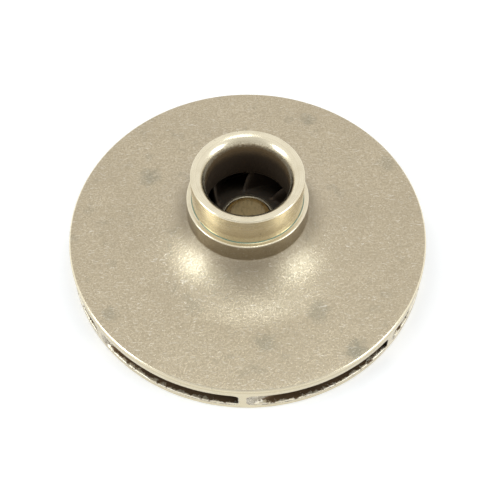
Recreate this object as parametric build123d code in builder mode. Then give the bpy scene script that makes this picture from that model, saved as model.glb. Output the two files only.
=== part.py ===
from build123d import *
import os
from math import cos, radians, sin, tan

# Closed pump impeller, cast in one piece: a back plate with its hub, a front
# shroud that rises into the suction neck, and curved vanes between them.
# Millimetres, +Z up. The origin is on the shaft axis, on the machined back face.

# ---- driving dimensions -------------------------------------------------------
outer_diameter = 149.2
rim_height = 14.8             # back face to the front edge of the rim
edge_break = 0.4              # chamfer on the turned corners

back_plate_thickness = 3.1
outlet_width = 7.3            # height of the water passage at the rim
shroud_slope = 3.0            # degrees, outer part of the front shroud
sweep_start_radius = 49.2     # where the front shroud starts to rise to the neck

collar_diameter = 49.1        # rough cast collar under the wear ring
collar_foot_height = 29.1     # where the collar meets the sweep of the shroud
ledge_height = 38.3           # turned ledge between collar and wear ring
wear_ring_diameter = 44.7
overall_height = 52.5
mouth_radius = 5.1            # rounding that leads from the top face into the eye

throat_diameter = 33.5        # suction eye
throat_foot_height = 31.6     # where the eye opens out under the shroud
shoulder_radius = 27.0        # bend in the ceiling of the passage
shoulder_height = 19.8
ceiling_foot_radius = 46.0    # outside this the passage has parallel walls

hub_nose_diameter = 22.2
hub_nose_height = 24.0
hub_foot_radius = 38.0        # where the hub cone meets the flat of the back plate
bore_diameter = 19.05
keyway_width = 4.76
keyway_depth = 2.4

vane_count = 7
vane_thickness = 1.9
vane_start_radius = 13.8      # camber line of a vane, inner end
vane_start_bearing = 97.5     # degrees from +X, seen from the suction side
inlet_angle = 62.0            # degrees between the vane and the circumference
outlet_angle = 25.0
wrap_angle = 137.5            # how far a vane turns from its inner end to the rim
vane_arcs = 4                 # arcs that carry one side of a vane
leading_edge_height = 21.9    # height of the leading edge at vane_start_radius
leading_edge_lean = 54.0      # degrees above the horizontal, going outwards
leading_edge_taper = 0.6      # bevel on each side of the leading edge

# ---- sizes that follow --------------------------------------------------------
outer_radius = outer_diameter / 2
wear_ring_radius = wear_ring_diameter / 2
throat_radius = throat_diameter / 2
bore_radius = bore_diameter / 2
clear = 2.0                   # how far cutting shapes run past the metal

shroud_rise = (outer_radius - sweep_start_radius) * tan(radians(shroud_slope))
sweep_start = (sweep_start_radius, rim_height + shroud_rise)
inward = (-cos(radians(shroud_slope)), sin(radians(shroud_slope)))
outlet_top = back_plate_thickness + outlet_width
mouth_foot = (throat_radius, overall_height - mouth_radius)
mouth_start = (throat_radius + mouth_radius, overall_height)


def vane_side(offset):
    """Points along one side of a vane, offset from its camber line.

    The radius grows evenly with t, which is 0 at the inner end and 1 at the rim.
    The bearing falls by the wrap angle along a cubic whose end slopes give the
    inlet and outlet angles. Every second point is the end of an arc.
    """
    span = outer_radius - vane_start_radius
    wrap = radians(wrap_angle)
    slope_in = span / (vane_start_radius * wrap * tan(radians(inlet_angle)))
    slope_out = span / (outer_radius * wrap * tan(radians(outlet_angle)))
    past_rim = 1 + 3 * clear / span
    points = []
    for station in range(2 * vane_arcs + 1):
        t = past_rim * station / (2 * vane_arcs)
        share = slope_in * (t**3 - 2 * t**2 + t) + 3 * t**2 - 2 * t**3 + slope_out * (t**3 - t**2)
        rate = slope_in * (3 * t**2 - 4 * t + 1) + 6 * t - 6 * t**2 + slope_out * (3 * t**2 - 2 * t)
        radius = vane_start_radius + span * t
        bearing = radians(vane_start_bearing) - wrap * share
        heading = Vector(span, -radius * wrap * rate).normalized()
        out = radius - offset * heading.Y
        around = offset * heading.X
        points.append((
            out * cos(bearing) - around * sin(bearing),
            out * sin(bearing) + around * cos(bearing),
        ))
    return points


# ---- one vane, as tall as the casting, cut back to its leading edge ------------
lean = tan(radians(leading_edge_lean))
edge_low = (bore_radius, leading_edge_height - (vane_start_radius - bore_radius) * lean)
edge_high = (vane_start_radius + (overall_height - leading_edge_height) / lean, overall_height)

with BuildPart() as vane:
    with BuildSketch():
        with BuildLine():
            leading_side = vane_side(vane_thickness / 2)
            trailing_side = vane_side(-vane_thickness / 2)
            for first in range(0, 2 * vane_arcs, 2):
                ThreePointArc(leading_side[first:first + 3])
                ThreePointArc(trailing_side[first:first + 3])
            Line(leading_side[0], trailing_side[0])
            Line(leading_side[-1], trailing_side[-1])
        make_face()
    extrude(amount=overall_height)
    with BuildSketch(Plane.XZ):
        with BuildLine():
            Polyline(
                (bore_radius, 0),
                edge_low,
                edge_high,
                (2 * outer_radius, overall_height),
                (2 * outer_radius, 0),
                close=True,
            )
        make_face()
    revolve(axis=Axis.Z, mode=Mode.INTERSECT)
    leading_edge = vane.faces().filter_by(GeomType.CONE)
    chamfer(leading_edge.edges().filter_by(GeomType.BSPLINE), leading_edge_taper)

# ---- the water passage: eye, and the space between the shrouds less the vanes --
with BuildPart() as passage:
    with BuildSketch(Plane.XZ):
        with BuildLine():
            Polyline(
                (0, overall_height + clear),
                (0, hub_nose_height),
                (hub_nose_diameter / 2, hub_nose_height),
                (hub_foot_radius, back_plate_thickness),
                (outer_radius + clear, back_plate_thickness),
                (outer_radius + clear, outlet_top),
                (ceiling_foot_radius, outlet_top),
                (shoulder_radius, shoulder_height),
                (throat_radius, throat_foot_height),
                mouth_foot,
            )
            TangentArc(mouth_foot, mouth_start, tangent=(0, 1))
            Polyline(mouth_start, (mouth_start[0], overall_height + clear), (0, overall_height + clear))
        make_face()
    revolve(axis=Axis.Z)
    with PolarLocations(0, vane_count):
        add(vane.part, mode=Mode.SUBTRACT)

# ---- the casting ---------------------------------------------------------------
with BuildPart() as impeller:
    with BuildSketch(Plane.XZ):
        with BuildLine():
            Polyline((0, 0), (outer_radius, 0), (outer_radius, rim_height), sweep_start)
            TangentArc(sweep_start, (collar_diameter / 2, collar_foot_height), tangent=inward)
            Polyline(
                (collar_diameter / 2, collar_foot_height),
                (collar_diameter / 2, ledge_height),
                (wear_ring_radius, ledge_height),
                (wear_ring_radius, overall_height),
                (0, overall_height),
                (0, 0),
            )
        make_face()
    revolve(axis=Axis.Z)
    rim_corners = impeller.edges().filter_by(GeomType.CIRCLE).group_by(SortBy.RADIUS)[-1]
    neck_corner = impeller.edges().group_by(Axis.Z)[-1]
    chamfer(rim_corners + neck_corner, edge_break)
    add(passage.part, mode=Mode.SUBTRACT)
    Hole(bore_radius)
    bore_mouths = impeller.edges().filter_by(GeomType.CIRCLE).filter_by(
        lambda edge: abs(edge.radius - bore_radius) < edge_break / 2
    )
    chamfer(bore_mouths, edge_break)
    with BuildSketch():
        with Locations((0, -(bore_radius + keyway_depth) / 2)):
            Rectangle(keyway_width, bore_radius + keyway_depth)
    extrude(amount=hub_nose_height + clear, mode=Mode.SUBTRACT)

impeller.part.label = "impeller"

os.makedirs("parts", exist_ok=True)
export_step(impeller.part, "parts/impeller.step")
print("volume", impeller.part.volume, "box", impeller.part.bounding_box())
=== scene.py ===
"""A closed pump impeller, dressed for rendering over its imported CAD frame.

The casting is one closed surface. Rings of points run round every turned and
cast face, and each water passage between two vanes is a tube whose corners are
rounded as a cored casting's are. Metres, +Z along the shaft axis.
"""

import bmesh
import bpy
import numpy as np
from bpy.props import FloatProperty, FloatVectorProperty, PointerProperty
from bpy.types import NodeSocket
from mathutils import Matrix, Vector


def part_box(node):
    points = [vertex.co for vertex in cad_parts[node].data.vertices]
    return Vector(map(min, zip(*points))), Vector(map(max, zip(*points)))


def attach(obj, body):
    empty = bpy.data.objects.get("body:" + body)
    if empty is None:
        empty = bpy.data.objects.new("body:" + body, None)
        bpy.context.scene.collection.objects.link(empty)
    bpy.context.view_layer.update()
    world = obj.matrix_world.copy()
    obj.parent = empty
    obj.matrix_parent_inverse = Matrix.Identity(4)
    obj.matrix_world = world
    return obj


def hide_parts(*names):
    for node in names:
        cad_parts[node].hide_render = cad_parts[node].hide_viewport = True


bl_info = {
    "name": "Pump impeller dresser",
    "version": (1, 0, 0),
    "blender": (4, 5, 0),
    "location": "3D View > Sidebar > Impeller",
    "description": "Builds the skin, finishes and stage of a closed pump impeller",
    "category": "Object",
}

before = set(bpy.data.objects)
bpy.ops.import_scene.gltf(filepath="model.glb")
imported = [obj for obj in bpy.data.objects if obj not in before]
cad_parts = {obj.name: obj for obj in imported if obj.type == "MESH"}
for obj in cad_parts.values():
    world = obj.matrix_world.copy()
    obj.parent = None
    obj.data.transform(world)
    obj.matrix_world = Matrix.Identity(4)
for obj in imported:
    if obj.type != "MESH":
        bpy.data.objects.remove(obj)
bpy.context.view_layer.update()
CAD_LOW, CAD_HIGH = (np.array(corner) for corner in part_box("impeller"))

MM = 0.001
CAST, TURNED, PASSAGE = 0, 1, 2  # material slots of the casting

# ---- form of the casting, in millimetres, as the CAD has it ----
RIM = float(CAD_HIGH[0] - CAD_LOW[0]) / MM / 2
TOP = float(CAD_HIGH[2]) / MM
RIM_HEIGHT = 14.8
EDGE = 0.4
WORN = 0.75  # the rim's front edge is worn rounder
PLATE = 3.1
OUTLET_TOP = 10.4
SHROUD_SLOPE = np.radians(3.0)
SWEEP_START = 49.2
COLLAR = 24.55
COLLAR_FOOT = 29.1
LEDGE = 38.3
WEAR_RING = 22.35
MOUTH = 5.1  # radius of the rounded mouth
THROAT = 16.75
THROAT_FOOT = 31.6
THROAT_TURNED = 41.0  # the throat is as cast below this height,
THROAT_SHADE = 46.0  # and its turned part is painted with shade below about this one
SHOULDER = (27.0, 19.8)
CEILING_FOOT = 46.0
NOSE, NOSE_HEIGHT = 11.1, 24.0
HUB_FOOT = 38.0
BORE = 9.525
KEY_HALF, KEY_FLOOR = 2.38, 11.925

VANES = 7
PITCH = 2 * np.pi / VANES
VANE_START = 13.8
VANE_BEARING = np.radians(97.5)
VANE_WRAP = np.radians(137.5)
INLET_ANGLE, OUTLET_ANGLE = np.radians(62.0), np.radians(25.0)
VANE_HALF = 0.95  # half a vane's thickness
LEADING_EDGE_TIP = 18.98  # radius where a leading edge meets the ceiling

# ---- fine unevenness of the casting, in millimetres ----
CEILING_LIP, WALL_LIP = 0.6, 0.7  # lips beside the floor's, as shares of its size
LEAST_LIP = 0.1
SWELL_LENGTH = 9.0  # how far the front shroud's swell takes for one radian inwards
SWELL_MARGIN, SWELL_FADE = 3.0, 4.0  # its distance from rim and collar, and its fade at the rim

# ---- how finely the surface is divided ----
ROOT_STEPS = 6  # columns in a root radius
ACROSS = 24  # spaces across a passage between root radii
EDGE_COLUMNS = 5  # columns inside a vane's thickness
WALL_ROWS = 6  # rows up a vane between root radii
PASSAGE_ROWS = 44  # rows along a passage, up to its lip
LIP_MARGIN = 1.0  # how far from the rim they end, in millimetres
LIP_STEPS = 4
BAND_ROWS = 5  # rows on the rim beside the openings
TAIL_ROWS = 3  # rows that straighten the inner rings
FLOOR_COLUMNS = 2 * ROOT_STEPS + ACROSS + 1
PITCH_COLUMNS = EDGE_COLUMNS + FLOOR_COLUMNS
RING_COLUMNS = VANES * PITCH_COLUMNS
# A vane's inner end and its rim end lie about three pitches apart round the axis.
TWIST_COLUMNS = 3 * PITCH_COLUMNS
# Radii between which the columns of the back and the front pass from one to the other.
BACK_TWIST, FRONT_TWIST = (RIM - EDGE, 20.0), (RIM - EDGE, COLLAR)


# ---- curves ----

def camber(radius):
    """Bearing of a vane's middle line, and the sine of its angle to the circumference.

    The bearing falls by the wrap angle along a cubic in t, the share of the way
    from the vane's start to the rim, with end slopes from the two blade angles.
    """
    span = RIM - VANE_START
    start = span / (VANE_START * VANE_WRAP * np.tan(INLET_ANGLE))
    end = span / (RIM * VANE_WRAP * np.tan(OUTLET_ANGLE))
    t = (radius - VANE_START) / span
    share = start * (t**3 - 2 * t**2 + t) + 3 * t**2 - 2 * t**3 + end * (t**3 - t**2)
    rate = start * (3 * t**2 - 4 * t + 1) + 6 * t - 6 * t**2 + end * (3 * t**2 - 2 * t)
    return VANE_BEARING - VANE_WRAP * share, 1 / np.hypot(1, radius * VANE_WRAP * rate / span)


def rounded_path(stations):
    """A run of straight lines with rounded corners, in radius and height.

    Each station is (point, rounding radius, arc steps, spacing of the line that
    leads to it). An arc touches both lines at its radius over the tangent of half
    the corner's angle.
    """
    points = [np.array([stations[0][0]], float)]
    last = points[0][0]
    for i, (corner, radius, steps, spacing) in enumerate(stations[1:], 1):
        corner = np.array(corner, float)
        arc = corner[None]
        if radius > 0:
            back = stations[i - 1][0] - corner
            ahead = stations[i + 1][0] - corner
            back, ahead = back / np.linalg.norm(back), ahead / np.linalg.norm(ahead)
            half = np.arccos(np.clip(back @ ahead, -1, 1)) / 2
            middle = (back + ahead) / np.linalg.norm(back + ahead)
            centre = corner + middle * radius / np.sin(half)
            start = corner + back * radius / np.tan(half) - centre
            stop = corner + ahead * radius / np.tan(half) - centre
            turn = np.sign(start[0] * stop[1] - start[1] * stop[0])
            angle = np.linspace(0, turn * (np.pi - 2 * half), steps + 1)
            cos, sin = np.cos(angle), np.sin(angle)
            arc = centre + np.c_[start[0] * cos - start[1] * sin, start[0] * sin + start[1] * cos]
        parts = max(1, int(np.ceil(np.linalg.norm(arc[0] - last) / spacing)))
        line = last + (arc[0] - last) * np.linspace(0, 1, parts + 1)[1:, None]
        points += [line, arc[1:]]
        last = arc[-1]
    return np.vstack(points)


def arc_stations(centre, radius, start, stop, steps):
    """Stations along a circular arc between two angles."""
    angle = np.linspace(start, stop, steps + 1)
    arc = centre + radius * np.c_[np.cos(angle), np.sin(angle)]
    return [(point, 0, 0, radius) for point in arc]


def along(path, distance):
    """Point and unit tangent at a distance along a path; past its ends it runs straight on."""
    step = np.diff(path, axis=0)
    length = np.linalg.norm(step, axis=1)
    at = np.r_[0, np.cumsum(length)]
    i = np.clip(np.searchsorted(at, distance, side="right") - 1, 0, len(length) - 1)
    tangent = step[i] / length[i][..., None]
    return path[i] + tangent * (distance - at[i])[..., None], tangent


def distance_at(path, radius):
    """How far along a path its radius reaches a value."""
    length = np.linalg.norm(np.diff(path, axis=0), axis=1)
    return np.interp(radius, path[:, 0], np.r_[0, np.cumsum(length)])


def unevenness(bearing, seed, orders):
    """Sum of waves round the axis with random phases, mostly between -1 and 1."""
    phases = np.random.default_rng(seed).uniform(0, 2 * np.pi, len(orders))
    waves = np.sin(np.multiply.outer(bearing, np.array(orders)) + phases)
    return waves.sum(axis=-1) / np.sqrt(len(orders))


# ---- the casting's surface ----

HUB = rounded_path([
    ((NOSE, NOSE_HEIGHT), 0, 0, 3.0),
    ((HUB_FOOT, PLATE), 14.0, 16, 3.0),
    ((RIM + 15.0, PLATE), 0, 0, 3.0),
])
CEILING = rounded_path([
    ((THROAT, THROAT_FOOT), 0, 0, 2.0),
    (SHOULDER, 12.0, 10, 2.0),
    ((CEILING_FOOT, OUTLET_TOP), 14.0, 10, 2.0),
    ((RIM + 15.0, OUTLET_TOP), 0, 0, 3.0),
])
HUB_RUN_IN, CEILING_RUN_IN = 0.6, 0.8  # where the inner rings meet the turned ones


class Skin:
    """Gathers grids of points into one mesh. Each grid is radius, bearing and height."""

    def __init__(self):
        self.points, self.faces, self.slots, self.count = [], [], [], 0

    def add(self, radius, bearing, height, slots, closed=False, flip=False):
        rows, columns = radius.shape
        row = np.arange(rows - 1)[:, None] * columns
        column = np.arange(columns if closed else columns - 1)[None]
        following = (column + 1) % columns
        faces = np.stack([row + column, row + following, row + columns + following, row + columns + column], -1)
        faces = faces.reshape(-1, 4)
        self.faces.append((faces[:, ::-1] if flip else faces) + self.count)
        slots = np.broadcast_to(np.reshape(slots, (-1, 1)), (rows - 1, column.size))
        self.slots.append(slots.reshape(-1))
        points = np.stack([radius * np.cos(bearing), radius * np.sin(bearing), height], -1)
        self.points.append(points.reshape(-1, 3))
        self.count += rows * columns

    def mesh(self, name):
        points = np.vstack(self.points) * MM
        faces = np.vstack(self.faces)
        mesh = bpy.data.meshes.new(name)
        mesh.vertices.add(len(points))
        mesh.vertices.foreach_set("co", points.astype(np.float32).ravel())
        mesh.loops.add(faces.size)
        mesh.loops.foreach_set("vertex_index", faces.astype(np.int32).ravel())
        mesh.polygons.add(len(faces))
        mesh.polygons.foreach_set("loop_start", np.arange(0, faces.size, 4, dtype=np.int32))
        mesh.update(calc_edges=True)
        mesh.polygons.foreach_set("material_index", np.concatenate(self.slots).astype(np.int32))
        return mesh


class Roots:
    """The columns of a root radius: distance from the vane's side, and lift off the wall."""

    def __init__(self, radius, nose):
        turn = np.linspace(0, np.pi / 2, ROOT_STEPS + 1)
        self.radius = radius
        self.off = radius * (1 - np.cos(turn))
        middle = np.full(ACROSS + 1, np.pi / 2)
        self.turn = np.r_[turn[:-1], middle, turn[:-1][::-1]]
        self.lift = radius * (1 - np.sin(self.turn))
        self.near = radius * (1 - np.cos(self.turn))
        side = np.linspace(-np.pi / 2, np.pi / 2, EDGE_COLUMNS + 2)
        self.across = np.sin(side)  # over a vane's thickness, -1 to 1
        self.bulge = nose * np.cos(side)  # how far the leading edge is rounded

    def rise(self, distance):
        """Lift of the wall at a distance from a vane: a quarter circle up its side."""
        inside = self.radius - np.minimum(distance, self.radius)
        return self.radius - np.sqrt(np.maximum(self.radius**2 - inside**2, 0))

    def spread(self, width):
        """Distances from one vane's side to the next one's, for clear widths per column."""
        left = np.broadcast_to(self.off[:-1], width.shape[:-1] + (ROOT_STEPS,))
        middle = width[..., ROOT_STEPS:-ROOT_STEPS] - 2 * self.radius
        middle = self.radius + middle * np.linspace(0, 1, ACROSS + 1)
        right = width[..., -ROOT_STEPS:] - self.off[:-1][::-1]
        return np.concatenate([left, middle, right], axis=-1)


def passage_wall(path, distance, side, roots, lip, wall_lip, lip_row):
    """Floor or ceiling of a passage: radius, bearing and height by row and column.

    The columns follow the vanes. Next to each vane they climb a quarter circle.
    In the last rows the edge at the rim is rounded by a lip of varying size: a
    lip row gives the angle that has been turned, and is -1 before the lip.
    """
    point, tangent = along(path, distance)
    normal = np.stack([-tangent[:, 1], tangent[:, 0]], -1) * side
    place = point[:, None] + roots.lift[None, :, None] * normal[:, None]
    radius, height = place[..., 0], place[..., 1]
    bearing, sine = camber(radius)
    off = roots.spread(PITCH * radius * sine - 2 * VANE_HALF)
    bearing = bearing + (VANE_HALF + off) / (radius * sine)
    plain, outward = np.sin(roots.turn), np.cos(roots.turn)
    sideways = np.where(np.arange(FLOOR_COLUMNS) < ROOT_STEPS, -outward, outward)
    size = lip(bearing[-1]) * plain + wall_lip * outward
    in_lip, turned = lip_row[:, None] >= 0, lip_row[:, None]
    open_up = np.where(in_lip, 1 - np.cos(turned), 0)
    radius = np.where(in_lip, RIM - (1 - np.sin(turned)) * size, radius)
    height = height - side * open_up * size * plain
    middle, sine = camber(radius)
    bearing = np.where(in_lip, middle + (VANE_HALF + off[-1]) / (RIM * sine[-1]), bearing)
    return radius, bearing + open_up * wall_lip * sideways / (RIM * sine), height


def vane_wall(floor, ceiling, column, side, wall_lip, lip_row):
    """One vane's side between its root radii, as straight rows from floor to ceiling."""
    share = np.linspace(0, 1, WALL_ROWS + 2)
    radius = floor[0][:, column, None] + (ceiling[0][:, column] - floor[0][:, column])[:, None] * share
    height = floor[2][:, column, None] + (ceiling[2][:, column] - floor[2][:, column])[:, None] * share
    bearing, sine = camber(radius)
    thin = np.where(lip_row >= 0, wall_lip * (1 - np.cos(lip_row)), 0)[:, None]
    bearing = bearing + (0 if side > 0 else PITCH) + side * (VANE_HALF - thin) / (radius * sine)
    bearing[:, 0] = floor[1][:, column]
    bearing[:, -1] = ceiling[1][:, column]
    return radius, bearing, height


def inner_rings(path, start, side, end, roots):
    """Rings from the leading edges inwards along a path, for one pitch.

    Distance from the edge's rounding gives each point's lift, so the root radius
    runs round the edge. The last rows straighten into a plain ring, whose bearings
    come back on their own.
    """
    near = np.r_[np.zeros(EDGE_COLUMNS + 2), roots.near[1:-1]]
    bulge = np.r_[roots.bulge, np.zeros(FLOOR_COLUMNS - 2)]
    point, tangent = along(path, start - bulge - roots.off[:, None])
    normal = np.stack([-tangent[..., 1], tangent[..., 0]], -1) * side
    place = point + roots.rise(np.hypot(near, roots.off[:, None]))[..., None] * normal
    radius, height = place[..., 0], place[..., 1]
    bearing, sine = camber(radius)
    width = PITCH * radius * sine - 2 * VANE_HALF
    off = roots.spread(np.c_[width[:, :1], width[:, EDGE_COLUMNS + 2:], width[:, -1:]])[:, 1:-1]
    edge = np.broadcast_to(roots.across * VANE_HALF, (len(radius), EDGE_COLUMNS + 2))
    bearing = bearing + np.c_[edge, VANE_HALF + off] / (radius * sine)
    share = np.linspace(0, 1, TAIL_ROWS + 1)[1:, None]
    stop, _ = along(path, end)
    tail_radius = radius[-1] + (stop[0] - radius[-1]) * share
    tail_height = height[-1] + (stop[1] - height[-1]) * share
    stop_bearing, stop_sine = camber(stop[0])
    reach = stop[0] * stop_sine
    off = roots.spread(np.full(FLOOR_COLUMNS, PITCH * reach - 2 * VANE_HALF))[1:-1]
    ring = stop_bearing + np.r_[edge[0], VANE_HALF + off] / reach
    return (np.vstack([radius, tail_radius]), bearing, np.vstack([height, tail_height])), ring


def round_axis(bearing):
    """One pitch's bearings repeated round the axis."""
    turns = np.arange(VANES)[:, None] * PITCH
    return (bearing[..., None, :] + turns).reshape(bearing.shape[:-1] + (RING_COLUMNS,))


def turned_back(rows):
    """Vane-end rows renumbered so that each column meets its own one at the rim."""
    return np.roll(rows, TWIST_COLUMNS, axis=-1)


def unwound(bearing):
    """Renumbered bearings that rise steadily along the ring."""
    turned = turned_back(bearing)
    return np.where(np.arange(RING_COLUMNS) < TWIST_COLUMNS, turned - 2 * np.pi, turned)


def from_keyway(bearing):
    """A bearing counted from -Y, where the keyway's middle is, between -pi and pi."""
    return (bearing + 1.5 * np.pi) % (2 * np.pi) - np.pi


def keyway(bearing):
    """Distance from the axis to the keyway's walls on the -Y side, and 0 elsewhere."""
    angle = from_keyway(bearing)
    inside = np.abs(angle) < np.arcsin(KEY_HALF / BORE) + 1e-9
    side = KEY_HALF / np.maximum(np.abs(np.sin(angle)), 1e-9)
    return np.where(inside, np.minimum(side, KEY_FLOOR / np.cos(angle)), 0)


def on_keyway_corners(bearing):
    """The ring's bearings with the nearest four moved onto the keyway's corners."""
    moved = bearing.copy()
    for corner in (np.arctan2(KEY_HALF, KEY_FLOOR), np.arcsin(KEY_HALF / BORE)):
        for sign in (-1, 1):
            gap = from_keyway(bearing - sign * corner)
            nearest = np.argmin(np.abs(gap))
            moved[nearest] = bearing[nearest] - gap[nearest]
    return moved


def ring_rows(path, rim_bearing, rim_height, end_bearing, twist_radii):
    """Plain rings along a path that starts on the rim band.

    The first rows run from the uneven slot edge to the path. The bearings pass
    smoothly from the rim's columns to the end's between the two twist radii.
    """
    outer, inner = twist_radii
    twist = np.clip((outer - path[:, 0]) / (outer - inner), 0, 1)
    twist = np.maximum.accumulate(twist)
    twist = (twist**2 * (3 - 2 * twist))[:, None]
    bearing = rim_bearing + (end_bearing - rim_bearing) * twist
    radius = np.broadcast_to(path[:, :1], bearing.shape)
    height = np.broadcast_to(path[:, 1:], bearing.shape)
    share = np.linspace(0, 1, BAND_ROWS + 1)[:-1, None]
    band = rim_height + (path[0, 1] - rim_height) * share
    radius = np.vstack([np.full(band.shape, RIM), radius])
    bearing = np.vstack([np.broadcast_to(rim_bearing, band.shape), bearing])
    return radius, bearing, np.vstack([band, height])


def with_inner(rows, inner):
    """Plain rings followed by the inner rings, from the end ring out to the leading edges."""
    radius, bearing, height = inner
    radius, height = (turned_back(np.tile(part[::-1], VANES)) for part in (radius, height))
    edge = unwound(round_axis(bearing[::-1]))
    share = np.linspace(0, 1, TAIL_ROWS + 1)[:-1, None]
    tail = rows[1][-1] + (edge[0] - rows[1][-1]) * share
    bearing = np.vstack([tail, edge])
    return [np.vstack([outer, part[1:]]) for outer, part in zip(rows, (radius, bearing, height))]


def back_path():
    """Rim band, back face, bore and nose, down to where the hub's cone starts."""
    run_in, _ = along(HUB, HUB_RUN_IN)
    return rounded_path([
        ((RIM, PLATE / 2), 0, 0, 1.0),
        ((RIM, EDGE), 0.15, 2, 0.4),
        ((RIM - EDGE, 0), 0.15, 2, 1.0),
        ((BORE + EDGE, 0), 0.1, 2, 4.0),
        ((BORE, EDGE), 0.1, 2, 1.0),
        ((BORE, NOSE_HEIGHT - EDGE), 0.1, 2, 3.0),
        ((BORE + EDGE, NOSE_HEIGHT), 0.1, 2, 1.0),
        ((NOSE, NOSE_HEIGHT), 0.25, 3, 0.6),
        (run_in, 0, 0, 1.0),
    ])


def front_path():
    """Rim band, front shroud, collar, wear ring, mouth and throat.

    The shroud sweeps up to the collar along the arc that leaves its cone without a
    bend and ends at the collar's foot.
    """
    slope = np.tan(SHROUD_SLOPE)
    start = np.array([SWEEP_START, RIM_HEIGHT + (RIM - SWEEP_START) * slope])
    foot = np.array([COLLAR, COLLAR_FOOT])
    normal = np.array([np.sin(SHROUD_SLOPE), np.cos(SHROUD_SLOPE)])
    gap = foot - start
    sweep = gap @ gap / (2 * gap @ normal)
    centre = start + sweep * normal
    spokes = np.array([start, foot]) - centre
    first, last = np.unwrap(np.arctan2(spokes[:, 1], spokes[:, 0]))
    run_in, _ = along(CEILING, CEILING_RUN_IN)
    sweep_arc = arc_stations(centre, sweep, first, last, 26)
    mouth_arc = arc_stations(np.array([THROAT + MOUTH, TOP - MOUTH]), MOUTH, np.pi / 2, np.pi, 16)
    return rounded_path([
        ((RIM, (OUTLET_TOP + RIM_HEIGHT) / 2), 0, 0, 1.0),
        ((RIM, RIM_HEIGHT - WORN), 1.1, 3, 0.45),
        ((RIM - WORN, RIM_HEIGHT + WORN * slope), 1.1, 3, 1.0),
        (start, 0, 0, 1.5),
        *sweep_arc[1:-1],
        (foot, 1.6, 4, 9.0),
        ((COLLAR, LEDGE), 0.6, 5, 1.5),
        ((WEAR_RING, LEDGE), 0.3, 3, 0.8),
        ((WEAR_RING, TOP - EDGE), 0.5, 3, 1.7),
        ((WEAR_RING - EDGE, TOP), 0.2, 2, 1.0),
        *mouth_arc,
        ((THROAT, THROAT_FOOT), 2.5, 6, 2.0),
        (run_in, 0, 0, 1.0),
    ])


def finish_slots(radius, height):
    """Which finish each row of faces has, from its middle: turned, cast or passage."""
    middle_r = (radius[1:].mean(1) + radius[:-1].mean(1)) / 2
    middle_z = (height[1:].mean(1) + height[:-1].mean(1)) / 2
    cast = (middle_r < RIM - WORN) & (middle_r > COLLAR - 0.1)
    cast &= (middle_z > OUTLET_TOP) & (middle_z < LEDGE - 0.2)
    throat = (middle_r < THROAT + 0.1) & (middle_z > NOSE_HEIGHT) & (middle_z < THROAT_TURNED)
    cone = (middle_r > NOSE) & (middle_r < VANE_START + 4)
    cone &= (middle_z < NOSE_HEIGHT) & (middle_z > NOSE_HEIGHT / 2)
    ceiling = (middle_r > THROAT) & (middle_r < SHOULDER[0])
    ceiling &= (middle_z < THROAT_FOOT) & (middle_z > NOSE_HEIGHT)
    return np.select([cast, throat | cone | ceiling], [CAST, PASSAGE], TURNED)


def passage_tube(sizes, roots, hub_start, ceiling_start):
    """Floor, ceiling, near wall and far wall of one passage, from the leading edges to the rim.

    The lips at the rim vary in size by sums of waves round the axis.
    """
    share = np.linspace(0, 1, PASSAGE_ROWS)
    lip_row = np.r_[np.full(PASSAGE_ROWS, -1.0), np.linspace(0, np.pi / 2, LIP_STEPS + 1)]
    lip_size, rough = sizes.lip_size / MM, sizes.lip_raggedness / MM
    wall_lip = WALL_LIP * lip_size

    def floor_lip(bearing):
        coarse = unevenness(bearing, 3, [7, 13, 22, 37, 53, 71])
        fine = unevenness(bearing, 5, [61, 83, 97, 118])
        return np.maximum(lip_size + rough * (0.6 * coarse + 0.4 * fine), LEAST_LIP)

    def ceiling_lip(bearing):
        return CEILING_LIP * lip_size + 0.2 * rough * unevenness(bearing, 4, [9, 17, 31, 47])

    def wall(path, start, side, lip):
        end = distance_at(path, RIM)
        distance = np.r_[start + (end - LIP_MARGIN - start) * share, np.full(LIP_STEPS + 1, end)]
        return passage_wall(path, distance, side, roots, lip, wall_lip, lip_row)

    floor = wall(HUB, hub_start, 1, floor_lip)
    ceiling = wall(CEILING, ceiling_start, -1, ceiling_lip)
    near = vane_wall(floor, ceiling, 0, 1, wall_lip, lip_row)
    far = vane_wall(floor, ceiling, -1, -1, wall_lip, lip_row)
    return floor, ceiling, near, far


def vane_end(near, far, roots):
    """A vane's end on the rim, from the far wall of one passage to the near wall of the next.

    Bearing and height pass in straight lines from the one to the other.
    """
    across = (roots.across + 1) / 2
    left, right = far[1][-1][:, None] - PITCH, near[1][-1][:, None]
    bearing = left + (right - left) * across
    height = far[2][-1][:, None] + (near[2][-1] - far[2][-1])[:, None] * across
    return np.full(bearing.shape, RIM), bearing, height


def leading_edge(hub_inner, ceiling_inner, roots):
    """A leading edge, in straight lines from the root on the hub to the tip under the ceiling.

    Each line keeps its share of the thickness on its side of the vane's middle line.
    """
    edge = slice(0, EDGE_COLUMNS + 2)
    low = np.stack([hub_inner[0][0, edge], hub_inner[2][0, edge]], -1)
    high = np.stack([ceiling_inner[0][0, edge], ceiling_inner[2][0, edge]], -1)
    lead = low + (high - low) * np.linspace(0, 1, WALL_ROWS + 2)[:, None, None]
    bearing, sine = camber(lead[..., 0])
    return lead[..., 0], bearing + roots.across * VANE_HALF / (lead[..., 0] * sine), lead[..., 1]


def rim_edge(end, row, wall):
    """Bearings and heights, round the rim, of the vanes' ends at a row and a wall's last row."""
    bearing = round_axis(np.r_[end[1][row], wall[1][-1][1:-1]])
    return bearing, np.tile(np.r_[end[2][row], wall[2][-1][1:-1]], VANES)


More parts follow.
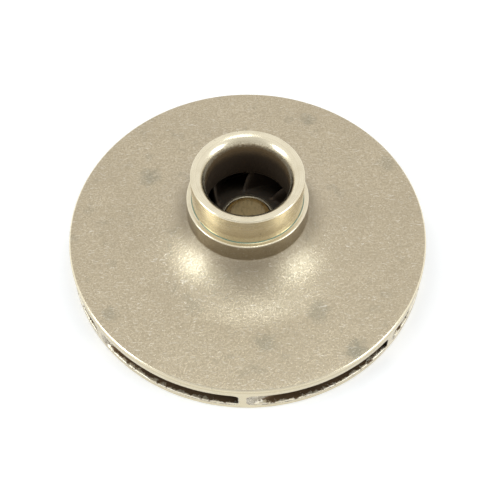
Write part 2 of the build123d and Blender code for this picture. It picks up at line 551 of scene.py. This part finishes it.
def back_rings(edge, inner, ring):
    """Rings from the rim over the back face, up the keyed bore and round the nose to the vanes.

    Within the keyway a radius is at least that of the keyway's wall, and a height at
    most the nose's at that radius.
    """
    path = back_path()
    rows = ring_rows(path, *edge, on_keyway_corners(unwound(round_axis(ring))), BACK_TWIST)
    radius, bearing, height = with_inner(rows, inner)
    key = keyway(bearing)
    cut = (radius < KEY_FLOOR + EDGE) & (key > 0)
    radius = np.where(cut, np.maximum(radius, key), radius)
    nose = path[(path[:, 1] > NOSE_HEIGHT / 2) & (path[:, 0] > BORE + EDGE)]
    nose = np.vstack([nose, HUB[1:3]])
    height = np.where(cut, np.minimum(height, np.interp(radius, nose[:, 0], nose[:, 1])), height)
    return radius, bearing, height


def front_rings(edge, inner, ring, waviness):
    """Rings from the rim over the front shroud, collar and mouth, and down the throat.

    The cast shroud swells by a sum of waves round the axis times a cosine of the
    radius, which fades out towards the rim. Also gives each row's finish.
    """
    rows = ring_rows(front_path(), *edge, unwound(round_axis(ring)), FRONT_TWIST)
    radius, bearing, height = with_inner(rows, inner)
    slots = finish_slots(radius, height)
    swell = waviness * unevenness(bearing, 9, [2, 3, 5, 8, 11]) * np.cos(radius / SWELL_LENGTH)
    inside = RIM - SWELL_MARGIN - radius
    on_face = (radius > COLLAR + SWELL_MARGIN) & (inside > 0) & (height > RIM_HEIGHT)
    fade = np.sin(np.pi / 2 * np.clip(inside / SWELL_FADE, 0, 1))
    return (radius, bearing, height + np.where(on_face, swell * fade, 0)), slots


def casting_mesh(sizes):
    """The whole casting as one closed surface."""
    edge_reach = sizes.leading_edge_reach / MM
    roots = Roots(sizes.root_radius / MM, edge_reach)
    hub_start = distance_at(HUB, VANE_START) + edge_reach
    ceiling_start = distance_at(CEILING, LEADING_EDGE_TIP) + edge_reach
    hub_inner, hub_ring = inner_rings(HUB, hub_start, 1, HUB_RUN_IN, roots)
    ceiling_inner, ceiling_ring = inner_rings(CEILING, ceiling_start, -1, CEILING_RUN_IN, roots)
    floor, ceiling, near, far = passage_tube(sizes, roots, hub_start, ceiling_start)
    end = vane_end(near, far, roots)
    lead = leading_edge(hub_inner, ceiling_inner, roots)

    skin = Skin()
    for vane in range(VANES):
        for (radius, bearing, height), slot, flip in (
            (floor, PASSAGE, True), (ceiling, PASSAGE, False), (near, PASSAGE, False),
            (far, PASSAGE, True), (end, TURNED, False), (lead, PASSAGE, True),
        ):
            skin.add(radius, bearing + vane * PITCH, height, slot, flip=flip)
    back = back_rings(rim_edge(end, 0, floor), hub_inner, hub_ring)
    skin.add(*back, finish_slots(back[0], back[2]), closed=True, flip=True)
    edge = rim_edge(end, -1, ceiling)
    front, slots = front_rings(edge, ceiling_inner, ceiling_ring, sizes.waviness / MM)
    skin.add(*front, slots, closed=True)
    return skin.mesh("impeller_casting")


# ---- shader helpers ----

def feed(node, **sockets):
    """Gives a node's sockets values or other sockets, by name with _ for a space, or by _ and number."""
    for name, value in sockets.items():
        socket = node.inputs[int(name[1:]) if name[0] == "_" else name.replace("_", " ")]
        if isinstance(value, NodeSocket):
            node.id_data.links.new(value, socket)
        else:
            socket.default_value = value
    return node


def put(kind, settings=None, **sockets):
    """Adds a shader node, with its settings, to the tree of the sockets that feed it."""
    tree = next(value.id_data for value in sockets.values() if isinstance(value, NodeSocket))
    node = tree.nodes.new("ShaderNode" + kind)
    for name, value in (settings or {}).items():
        setattr(node, name, value)
    return feed(node, **sockets)


def maths(operation, first, second=0.0, third=0.0):
    return put("Math", {"operation": operation}, _0=first, _1=second, _2=third).outputs[0]


def measure(operation, first, second=(0.0, 0.0, 0.0)):
    """A number from vectors, such as a length or a distance."""
    return put("VectorMath", {"operation": operation}, _0=first, _1=second).outputs["Value"]


def times(first, second):
    return maths("MULTIPLY", first, second)


def times_plus(first, second, third):
    return maths("MULTIPLY_ADD", first, second, third)


def less(first, second):
    return maths("SUBTRACT", first, second)


def largest(first, second):
    return maths("MAXIMUM", first, second)


def ramp(value, low, high, to_low=0.0, to_high=1.0):
    """A smooth step from low to high."""
    return put(
        "MapRange", {"interpolation_type": "SMOOTHSTEP"},
        Value=value, From_Min=low, From_Max=high, To_Min=to_low, To_Max=to_high,
    ).outputs["Result"]


def close_to(value, middle, reach):
    """1 near a middle value, and 0 from a reach away."""
    return ramp(maths("ABSOLUTE", less(value, middle)), reach, 0.4 * reach)


def ragged(value, cloud, reach):
    """A value moved up and down by noise, so that a border drawn from it is ragged."""
    return times_plus(less(cloud, 0.5), reach, value)


def mixed(share, first, second):
    """Passes from the first colour to the second as the share grows."""
    first, second = (colour if isinstance(colour, NodeSocket) else (*colour, 1.0) for colour in (first, second))
    return put("Mix", {"data_type": "RGBA"}, _0=share, _6=first, _7=second).outputs[2]


def painted(colour, *layers):
    """A colour with layers over it, each a mask and the colour that shows where the mask is 1."""
    for mask, over in layers:
        colour = mixed(mask, colour, over)
    return colour


def noise(place, size, detail=3.0, roughness=0.6):
    """Noise whose features are about a size in millimetres across."""
    return put("TexNoise", Vector=place, Scale=1 / size, Detail=detail, Roughness=roughness).outputs["Fac"]


def new_group(name, inputs, outputs):
    """A shader node group with named inputs and outputs."""
    tree = bpy.data.node_groups.new(name, "ShaderNodeTree")
    for label, kind, default in inputs:
        socket = tree.interface.new_socket(label, in_out="INPUT", socket_type=kind)
        if default is not None:
            socket.default_value = default
    for label, kind in outputs:
        tree.interface.new_socket(label, in_out="OUTPUT", socket_type=kind)
    return tree, tree.nodes.new("NodeGroupInput").outputs, tree.nodes.new("NodeGroupOutput").inputs


def nicks_group(name):
    """Short fine scratches: noise drawn out along several directions, kept where it peaks."""
    tree, given, out = new_group(
        name,
        [("Place", "NodeSocketVector", None), ("Limit", "NodeSocketFloat", 0.7)],
        [("Mask", "NodeSocketFloat")],
    )
    bend = put("TexNoise", Vector=given["Place"], Scale=0.12, Detail=1.0).outputs["Color"]
    moved = put("VectorMath", {"operation": "MULTIPLY_ADD"},
                _0=bend, _1=(5, 5, 5), _2=given["Place"]).outputs[0]
    limit = given["Limit"]
    mask = 0.0
    for turn, length, width in NICK_LAYERS:
        drawn = put("Mapping", Vector=moved, Location=(turn * 7, turn * 3, 0),
                    Rotation=(0, 0, turn), Scale=(1 / length, 1 / width, 1 / length)).outputs[0]
        streak = put("TexNoise", Vector=drawn, Scale=1.0, Detail=0.0).outputs["Fac"]
        mask = largest(ramp(streak, limit, maths("ADD", limit, 0.05)), mask)
    tree.links.new(mask, out["Mask"])
    return tree


def axis_group(name):
    """Distance from the shaft's axis and height over the back face, in millimetres.

    Flat is the place without its height. Ring has the radius and the height, for
    patterns that run round the axis.
    """
    tree, given, out = new_group(
        name,
        [("Place", "NodeSocketVector", None)],
        [("Radius", "NodeSocketFloat"), ("Level", "NodeSocketFloat"), ("Flat", "NodeSocketVector"),
         ("Ring", "NodeSocketVector")],
    )
    parts = put("SeparateXYZ", Vector=given["Place"]).outputs
    flat = put("CombineXYZ", X=parts["X"], Y=parts["Y"]).outputs[0]
    radius = measure("LENGTH", flat)
    ring = put("CombineXYZ", X=radius, Y=parts["Z"]).outputs[0]
    for label, socket in (("Radius", radius), ("Level", parts["Z"]), ("Flat", flat), ("Ring", ring)):
        tree.links.new(socket, out[label])
    return tree


def smudges_group(name):
    """Soft smudges with ragged borders."""
    tree, given, out = new_group(
        name,
        [("Place", "NodeSocketVector", None), ("Size", "NodeSocketFloat", 10.0),
         ("Low", "NodeSocketFloat", 0.5), ("High", "NodeSocketFloat", 0.7)],
        [("Mask", "NodeSocketFloat")],
    )
    scale = maths("DIVIDE", 1.0, given["Size"])
    cloud = put("TexNoise", Vector=given["Place"], Scale=scale, Detail=4.0, Roughness=0.55)
    tree.links.new(ramp(cloud.outputs["Fac"], given["Low"], given["High"]), out["Mask"])
    return tree


SHARED_GROUPS = {"Nicks": nicks_group, "Round the axis": axis_group, "Smudges": smudges_group}


def use_group(name, **sockets):
    """Places a shared node group, which is built when it is first wanted."""
    group = bpy.data.node_groups.get(name) or SHARED_GROUPS[name](name)
    return put("Group", {"node_tree": group}, **sockets).outputs


def smudges(place, size, low, high):
    return use_group("Smudges", Place=place, Size=size, Low=low, High=high)["Mask"]


def new_material(name):
    """An empty material with its Principled shader, its place in millimetres and the axis group."""
    material = bpy.data.materials.new(name)
    material.use_nodes = True
    tree = material.node_tree
    tree.nodes.clear()
    shader = tree.nodes.new("ShaderNodeBsdfPrincipled")
    put("OutputMaterial", Surface=shader.outputs[0])
    place = tree.nodes.new("ShaderNodeTexCoord").outputs["Object"]
    place = put("Mapping", Vector=place, Scale=(1 / MM, 1 / MM, 1 / MM)).outputs[0]
    return material, shader, place, use_group("Round the axis", Place=place)


def bump(height, depth):
    """A normal from a height, in shares of a depth in metres."""
    return put("Bump", Strength=1.0, Distance=depth, Height=height).outputs[0]


# ---- finishes ----

# Direction, length and width of the scratches' layers, in radians and millimetres.
NICK_LAYERS = ((0.3, 2.4, 0.26), (1.1, 1.7, 0.22), (1.9, 3.2, 0.24), (2.7, 1.5, 0.24))
NICK_LIMIT = 0.768  # a scratch shows where its noise is above this
DULL_SHADE_REACH = 36.0  # the cast skin is darker from the collar to this radius, partly duller and partly painted shade in the corner,
DULL_SHADE_FALL = 1.7  # by this power of the way inwards,
DULL_SHADE_SHARE, DULL_SHADE_MOST = 0.7, 0.52  # with this share at the collar, and never more than this
# Grey-green marks on the front face: place, reach in millimetres, strength.
MARKS = (
    (-42.2, 25.9, 6.5, 0.8), (27.0, 58.2, 5.0, 0.7), (60.6, 34.0, 5.5, 0.5), (28.0, -40.3, 6.5, 0.6),
    (42.5, -57.1, 6.0, 1.0), (6.8, -54.1, 5.5, 0.6), (-54.6, -40.7, 5.0, 0.6),
)
MARK_RAGGEDNESS = 8.0
# Painted shade down the throat and its brown fringe start and are full at these heights over the throat's shade
# height.
SHADE_FADE, FRINGE_FADE = (1.0, -5.0), (4.5, 1.0)
SHADE_RAGGEDNESS = 5.0
SHADE_RISE = 0.08  # they stand this much higher per millimetre towards +Y
INLET = (30, 20)  # radii over which a passage gets painted shade towards the eye
MOUTH_RAGGEDNESS, CHIP_LIGHT_RAGGEDNESS = 14.0, 7.0
MATT_SHADE_SHARE = 0.9  # how far the painted shade and oxide hide the metal
MATT_SPECULAR = 0.2  # specular level of the painted shade and oxide
COAT_ROUGHNESS = 0.25
CAST_BUMP, TURNED_BUMP, PASSAGE_BUMP = 0.00015, 0.000012, 0.0002  # depths in metres


def marks(flat, raggedness):
    """The marks' mask: each fades with distance from its middle, over a ragged border."""
    mask = 0.0
    for x, y, reach, strength in MARKS:
        away = maths("ADD", measure("DISTANCE", flat, (x, y, 0)), raggedness)
        mask = largest(ramp(away, reach, 0.2 * reach, 0.0, strength), mask)
    return mask


def tumbled_bronze(finish):
    """Cast bronze after tumbling: satin and grainy, with pale nicks, grey-green marks, and a duller skin with
    painted shade towards the collar.
    """
    material, shader, place, axis = new_material("tumbled_bronze")
    nick = use_group("Nicks", Place=place, Limit=NICK_LIMIT)["Mask"]
    broad = smudges(place, 20.0, 0.40, 0.68)
    spots = smudges(place, 7.0, 0.58, 0.70)
    grain = noise(place, 0.75, 3.0, 0.7)
    border = times(less(noise(place, 3.0), 0.5), MARK_RAGGEDNESS)
    stain = largest(times(spots, 0.35), marks(axis["Flat"], border))
    # Towards the collar the skin darkens: partly a duller skin that tumbling missed, partly painted shade in
    # the corner under the collar.
    inward = maths("DIVIDE", less(DULL_SHADE_REACH, axis["Radius"]), DULL_SHADE_REACH - COLLAR)
    dull_and_shade = times(maths("POWER", largest(inward, 0.0), DULL_SHADE_FALL), DULL_SHADE_SHARE)
    dull_and_shade = maths("MINIMUM", dull_and_shade, DULL_SHADE_MOST)
    nick = times(nick, less(0.9, dull_and_shade))
    colour = painted(
        finish.cast_shade,
        (ramp(grain, 0.34, 0.66), finish.cast),
        (times(broad, 0.3), finish.cast_shade),
        (dull_and_shade, finish.foot),
        (times(stain, 0.6), finish.smudge),
        (times(nick, 0.65), finish.nick),
    )
    rough = ramp(grain, 0.3, 0.7, finish.cast_roughness + 0.08, finish.cast_roughness - 0.06)
    feed(
        shader, Base_Color=colour, Metallic=1.0, Roughness=times_plus(dull_and_shade, 0.15, rough),
        Coat_Weight=ramp(grain, 0.48, 0.62), Coat_Roughness=COAT_ROUGHNESS,
        Normal=bump(times_plus(nick, -0.1, grain), CAST_BUMP),
    )
    return material


def throat_shade(axis, grit):
    """Masks of the painted shade and of the brown fringe over it, in the turned throat."""
    throat = times(ramp(axis["Radius"], THROAT + 2.3, THROAT + 0.4), ramp(axis["Level"], 30, 35))
    rise = measure("DOT_PRODUCT", axis["Flat"], (0, SHADE_RISE, 0))
    level = ragged(less(axis["Level"], rise), grit, SHADE_RAGGEDNESS)
    return [
        times(throat, ramp(level, THROAT_SHADE + start, THROAT_SHADE + full))
        for start, full in (SHADE_FADE, FRINGE_FADE)
    ]


def turned_bronze(finish):
    """Turned bronze: fine rings and a few pores, with a brassy bore and painted shade down the throat.

    The rim is tarnished, the wear ring is painted darker towards its foot as shade, and a green line lies under
    the ring.
    """
    material, shader, place, axis = new_material("turned_bronze")
    radius, level, ring = axis["Radius"], axis["Level"], axis["Ring"]
    turning = noise(ring, 0.35, 3.0, 0.6)
    grit = noise(place, 0.8, 3.0, 0.7)
    tarnish = times(smudges(place, 6.0, 0.42, 0.72), 0.3)
    pores = times(smudges(place, 1.1, 0.70, 0.73), 0.9)
    # Painted shade down the throat with a brown fringe over it, standing higher towards +Y.
    eye_shade, shade_fringe = throat_shade(axis, grit)

    corner = times(close_to(radius, WEAR_RING, 0.34), close_to(level, LEDGE, 0.42))
    patina = times(corner, smudges(place, 4.0, 0.30, 0.45))
    # Painted shade: the wear ring darkens towards its foot at the ledge, in the tarnish colour.
    foot = ramp(level, LEDGE + 8.5, LEDGE + 3.0, 0.0, 0.75)
    foot = times(close_to(radius, WEAR_RING, 0.5), foot)
    bore = ramp(radius, BORE + 0.25, BORE + 0.05)
    drawn = put("Mapping", Vector=place, Scale=(1, 1, 0.15)).outputs[0]
    streaks = ramp(noise(drawn, 1.2), 0.5, 0.7, 0.0, 0.5)
    specks = times(bore, largest(ramp(grit, 0.62, 0.70), streaks))
    rim = ramp(radius, RIM - 1.5, RIM - 0.6)
    rim_line = times_plus(close_to(level, RIM_HEIGHT - 1.4, 0.8), 0.4, 0.6)
    worn_edge = times(rim, ramp(level, RIM_HEIGHT - 0.7, RIM_HEIGHT - 0.3))
    colour = painted(
        finish.turned,
        (tarnish, finish.tarnish),
        (ramp(noise(ring, 0.9, 2.0), 0.35, 0.7, 0.0, 0.3), finish.tarnish),
        (largest(foot, times(rim, rim_line)), finish.tarnish),
        (worn_edge, finish.turned),
        (bore, finish.bore),
        (largest(pores, times(specks, 0.7)), finish.pore),
        (patina, finish.patina),
        (shade_fringe, finish.shade_fringe),
        (eye_shade, finish.eye_shade),
    )
    # Patina and the painted shade's fringe are matt, not metal.
    patina_and_shade = largest(times(patina, 0.8), times(shade_fringe, MATT_SHADE_SHARE))
    rough = ramp(turning, 0.3, 0.7, finish.turned_roughness - 0.05, finish.turned_roughness + 0.07)
    feed(
        shader, Base_Color=colour, Metallic=less(1.0, patina_and_shade),
        Roughness=times_plus(largest(eye_shade, tarnish), 0.3, rough),
        Specular_IOR_Level=MATT_SPECULAR,
        Normal=bump(times_plus(grit, 0.6, turning), TURNED_BUMP),
    )
    return material


def passage_skin(finish):
    """As-cast water passages: dark brown inside, with painted shade towards the eye.

    The vane sides near the rim are painted lighter grey as lit, mottled with pale specks, and the floor's edge
    at the rim is bright, partly chipped metal and partly painted light.
    """
    material, shader, place, axis = new_material("passage_skin")
    radius = axis["Radius"]
    grain = noise(place, 1.1, 5.0, 0.75)
    lumps = noise(place, 2.6, 3.0, 0.7)
    normal = material.node_tree.nodes.new("ShaderNodeNewGeometry").outputs["Normal"]
    facing = put("SeparateXYZ", Vector=normal).outputs["Z"]
    upright = ramp(maths("ABSOLUTE", facing), 0.8, 0.4)
    # Painted light: the vane sides near the rim openings are painted lighter than the floor.
    mouth = times(upright, ramp(ragged(radius, grain, MOUTH_RAGGEDNESS), RIM - 12, RIM - 4))
    # The floor's edge at the rim is bright: partly chipped metal, partly painted light where light reaches it.
    chips_and_light = ramp(ragged(radius, lumps, CHIP_LIGHT_RAGGEDNESS), RIM - 1.3, RIM - 0.5)
    chips_and_light = times(chips_and_light, less(1.0, upright))
    # Painted shade: the cast throat and the vane walls near the eye take the dark shade colour, and are matt.
    inlet = ramp(radius, *INLET)
    throat = ramp(axis["Level"], 26, 31)
    colour = painted(
        finish.passage_deep,
        (ramp(radius, 45, 22), finish.passage_inner),
        (mouth, finish.lit_vane_sides),
        (ramp(grain, 0.47, 0.60, 0.0, 0.8), finish.passage_deep),
        (largest(throat, times(upright, times(inlet, 0.7))), finish.eye_shade),
        (times(mouth, ramp(noise(place, 0.6), 0.5, 0.6, 0.0, 0.7)), finish.nick),
        (chips_and_light, mixed(ramp(grain, 0.45, 0.6), finish.turned, finish.nick)),
    )
    feed(
        shader, Base_Color=colour,
        Metallic=times_plus(largest(throat, inlet), -MATT_SHADE_SHARE, 1.0),
        Roughness=times_plus(chips_and_light, -0.25, 0.60), Specular_IOR_Level=MATT_SPECULAR,
        Normal=bump(grain, PASSAGE_BUMP),
    )
    return material


# ---- settings a user can change ----

def number_property(name, description, default, **limits):
    return FloatProperty(name=name, description=description, default=default, **{"min": 0.0, **limits})


def colour_property(name, description, default):
    return FloatVectorProperty(
        name=name, description=description, default=default, subtype="COLOR", size=3, min=0.0, max=1.0
    )


def length_property(name, description, default):
    return number_property(name, description, default, subtype="DISTANCE", unit="LENGTH", precision=5)


class ImpellerSizes(bpy.types.PropertyGroup):
    root_radius: length_property("Root radius", "Casting radius where a vane meets the shrouds", 0.0015)
    leading_edge_reach: length_property("Leading edge", "Length over which a leading edge is rounded", 0.0013)
    lip_size: length_property("Lip", "Broken edge where a passage meets the rim", 0.0005)
    lip_raggedness: length_property("Lip raggedness", "Unevenness of the broken edge", 0.0003)
    waviness: length_property("Waviness", "Unevenness of the cast front shroud", 0.00004)


class ImpellerFinish(bpy.types.PropertyGroup):
    cast: colour_property("Cast skin", "Tumbled cast bronze", (0.61, 0.52, 0.365))
    cast_shade: colour_property("Cast shade", "Hollows of the cast skin", (0.455, 0.385, 0.27))
    # The colour towards the collar: a duller skin together with painted shade in the corner under the collar.
    foot: colour_property("Collar foot", "Duller skin where tumbling doesn't reach", (0.17, 0.135, 0.09))
    smudge: colour_property("Smudge", "Grey-green marks on the cast skin", (0.26, 0.25, 0.19))
    nick: colour_property("Nick", "Fresh metal in the nicks", (0.92, 0.87, 0.76))
    cast_roughness: number_property("Cast roughness", "How matt the cast skin is", 0.29, max=1.0)
    turned: colour_property("Turned", "Turned bronze", (0.87, 0.79, 0.60))
    # Also the colour of the painted shade at the wear ring's foot.
    tarnish: colour_property("Tarnish", "Dull patches of the turned bronze", (0.58, 0.50, 0.34))
    bore: colour_property("Bore", "Brassy wall of the bore", (0.56, 0.43, 0.22))
    turned_roughness: number_property("Turned roughness", "How matt the turned faces are", 0.20, max=1.0)
    # Painted shade in the eye: its brown fringe and its dark colour.
    shade_fringe: colour_property("Scorch", "Brown tint between the mouth and the throat", (0.16, 0.11, 0.06))
    eye_shade: colour_property("Soot", "Dark wall of the throat", (0.053, 0.037, 0.024))
    pore: colour_property("Pore", "Open pores in the casting", (0.06, 0.045, 0.03))
    patina: colour_property("Patina", "Green line under the wear ring", (0.07, 0.20, 0.16))
    # Painted light on the vane sides near the rim openings.
    lit_vane_sides: colour_property("Passage mouth", "Cast skin near the rim openings", (0.50, 0.455, 0.375))
    passage_inner: colour_property("Passage inlet", "Brown skin near the eye", (0.11, 0.092, 0.072))
    passage_deep: colour_property("Passage depth", "Dark oxide deep in the passages", (0.17, 0.115, 0.066))


class ImpellerStage(bpy.types.PropertyGroup):
    floor_colour: colour_property("Floor", "Pale floor", (0.92, 0.92, 0.92))
    floor_lift: number_property("Floor lift", "Extra white of the floor where it is seen", 0.16)
    side_light: number_property("Side lights", "Power of each side softbox", 4.0, unit="POWER")
    top_light: number_property("Top light", "Power of the overhead softbox", 1.1, unit="POWER")
    ambient: number_property("Ambient", "Strength of the surroundings", 0.95)
    shade: number_property("Shade", "Strength of the dim part of the surroundings", 0.68)
    lens: number_property("Lens", "Focal length on a 36 mm wide sensor, in millimetres", 74.84, min=1.0)


# ---- the casting and the stage ----

WELD_REACH, LEAST_EDGE = 0.002 * MM, 0.001 * MM
SHARP_ANGLE = np.radians(50)  # edges that turn more than this stay sharp
# Each softbox: bearing and height angle in degrees, distance and width in metres, the power
# that it follows and its share of that power.
SOFTBOXES = {
    "left softbox": (-162, 30, 1.2, 0.5, "side_light", 1.0),
    "right softbox": (-22, 33, 1.2, 0.5, "side_light", 0.72),
    "top softbox": (-40, 82, 1.3, 0.35, "top_light", 1.0),
}
LAMP_COLOUR = (0.86, 0.95, 1.0)
SHADE_DIRECTION = (0, -0.85, 0.53)  # the surroundings are dim round this direction
FLOOR_REACH, FLOOR_GAP = 6.0, 0.0002
CAMERA_PLACE = (0.00096, -0.2422, 0.3764)
CAMERA_DOWN = np.radians(57.35)  # how far under the horizon the camera looks
SENSOR_WIDTH = 36.0


def link(item):
    bpy.context.scene.collection.objects.link(item)
    return item


class IMPELLER_OT_casting(bpy.types.Operator):
    """Build the casting's smooth surface and its three finishes"""

    bl_idname = "impeller.casting"
    bl_label = "Casting"

    def execute(self, context):
        mesh = casting_mesh(context.scene.impeller_sizes)
        shell = bmesh.new()
        shell.from_mesh(mesh)
        bmesh.ops.remove_doubles(shell, verts=shell.verts, dist=WELD_REACH)
        bmesh.ops.dissolve_degenerate(shell, edges=shell.edges, dist=LEAST_EDGE)
        open_edges = sum(not edge.is_manifold for edge in shell.edges)
        volume = shell.calc_volume(signed=True)
        shell.to_mesh(mesh)
        shell.free()
        if open_edges or volume <= 0:
            raise RuntimeError(f"the casting is not closed: {open_edges} open edges, volume {volume}")
        mesh.polygons.foreach_set("use_smooth", np.ones(len(mesh.polygons), dtype=bool))
        mesh.set_sharp_from_angle(angle=SHARP_ANGLE)
        finish = context.scene.impeller_finish
        for material in (tumbled_bronze(finish), turned_bronze(finish), passage_skin(finish)):
            mesh.materials.append(material)
        casting = link(bpy.data.objects.new("impeller_casting", mesh))
        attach(casting, "root")
        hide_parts("impeller")
        return {"FINISHED"}


def lay_floor(stage):
    """A pale floor just under the casting, made whiter where it is seen."""
    corners = [(x * FLOOR_REACH, y * FLOOR_REACH, 0) for x, y in ((-1, -1), (1, -1), (1, 1), (-1, 1))]
    mesh = bpy.data.meshes.new("floor")
    mesh.from_pydata(corners, [], [(0, 1, 2, 3)])
    floor = link(bpy.data.objects.new("floor", mesh))
    floor.location.z = -FLOOR_GAP
    material = bpy.data.materials.new("floor")
    material.use_nodes = True
    tree = material.node_tree
    rays = tree.nodes.new("ShaderNodeLightPath").outputs
    seen = largest(rays["Is Camera Ray"], rays["Is Glossy Ray"])
    seen = largest(seen, rays["Is Transmission Ray"])
    feed(
        tree.nodes["Principled BSDF"], Base_Color=(*stage.floor_colour, 1.0), Roughness=0.9,
        Emission_Color=(1, 1, 1, 1), Emission_Strength=times(seen, stage.floor_lift),
    )
    mesh.materials.append(material)


def hang_softbox(name, azimuth, elevation, distance, width, power):
    """A square lamp that faces the casting from a bearing and a height angle in degrees."""
    data = bpy.data.lights.new(name, "AREA")
    data.shape, data.size, data.energy, data.color = "SQUARE", width, power, LAMP_COLOUR
    lamp = link(bpy.data.objects.new(name, data))
    azimuth, elevation = np.radians([azimuth, elevation])
    flat = np.cos(elevation)
    toward = Vector((flat * np.cos(azimuth), flat * np.sin(azimuth), np.sin(elevation)))
    lamp.location = toward * distance
    lamp.rotation_euler = toward.to_track_quat("Z", "Y").to_euler()


def light_surroundings(scene, stage):
    """A soft tent of light, dim in one broad place part of the way up over the front."""
    world = bpy.data.worlds.new("surroundings")
    scene.world = world
    world.use_nodes = True
    tree = world.node_tree
    tree.nodes.clear()
    toward = tree.nodes.new("ShaderNodeTexCoord").outputs["Generated"]
    nearness = measure("DOT_PRODUCT", toward, SHADE_DIRECTION)
    high = ramp(put("SeparateXYZ", Vector=toward).outputs["Z"], 0.12, 0.35)
    dim = times(ramp(nearness, 0.55, 0.95), high)
    strength = ramp(dim, 0.0, 1.0, stage.ambient, stage.shade)
    light = put("Background", Color=(1, 1, 1, 1), Strength=strength).outputs[0]
    put("OutputWorld", Surface=light)


def aim_camera(scene, stage):
    """The camera above the casting and in front of it, looking down."""
    data = bpy.data.cameras.new("camera")
    data.lens = stage.lens
    data.sensor_width = SENSOR_WIDTH
    camera = link(bpy.data.objects.new("camera", data))
    camera.location = CAMERA_PLACE
    camera.rotation_euler = (np.pi / 2 - CAMERA_DOWN, 0, 0)
    scene.camera = camera


class IMPELLER_OT_stage(bpy.types.Operator):
    """Set the floor, the softboxes, the surroundings and the camera"""

    bl_idname = "impeller.stage"
    bl_label = "Stage"

    def execute(self, context):
        scene = context.scene
        stage = scene.impeller_stage
        lay_floor(stage)
        for name, (*place, power, share) in SOFTBOXES.items():
            hang_softbox(name, *place, share * getattr(stage, power))
        light_surroundings(scene, stage)
        aim_camera(scene, stage)
        scene.view_settings.view_transform = "Standard"
        return {"FINISHED"}


class IMPELLER_PT_panel(bpy.types.Panel):
    """Sizes, finishes and stage of the impeller"""

    bl_label = "Impeller"
    bl_idname = "IMPELLER_PT_panel"
    bl_space_type = "VIEW_3D"
    bl_region_type = "UI"
    bl_category = "Impeller"

    def draw(self, context):
        for group in (getattr(context.scene, name) for name in GROUPS):
            box = self.layout.box()
            for name in group.bl_rna.properties.keys():
                if name not in ("rna_type", "name"):
                    box.prop(group, name)
        self.layout.operator(IMPELLER_OT_casting.bl_idname)
        self.layout.operator(IMPELLER_OT_stage.bl_idname)


GROUPS = {"impeller_sizes": ImpellerSizes, "impeller_finish": ImpellerFinish, "impeller_stage": ImpellerStage}
CLASSES = (*GROUPS.values(), IMPELLER_OT_casting, IMPELLER_OT_stage, IMPELLER_PT_panel)


def register():
    for item in CLASSES:
        bpy.utils.register_class(item)
    for name, group in GROUPS.items():
        setattr(bpy.types.Scene, name, PointerProperty(type=group))


def unregister():
    for name in GROUPS:
        delattr(bpy.types.Scene, name)
    for item in reversed(CLASSES):
        bpy.utils.unregister_class(item)


def main():
    register()
    bpy.ops.impeller.casting()
    bpy.ops.impeller.stage()


if __name__ == "__main__":
    main()
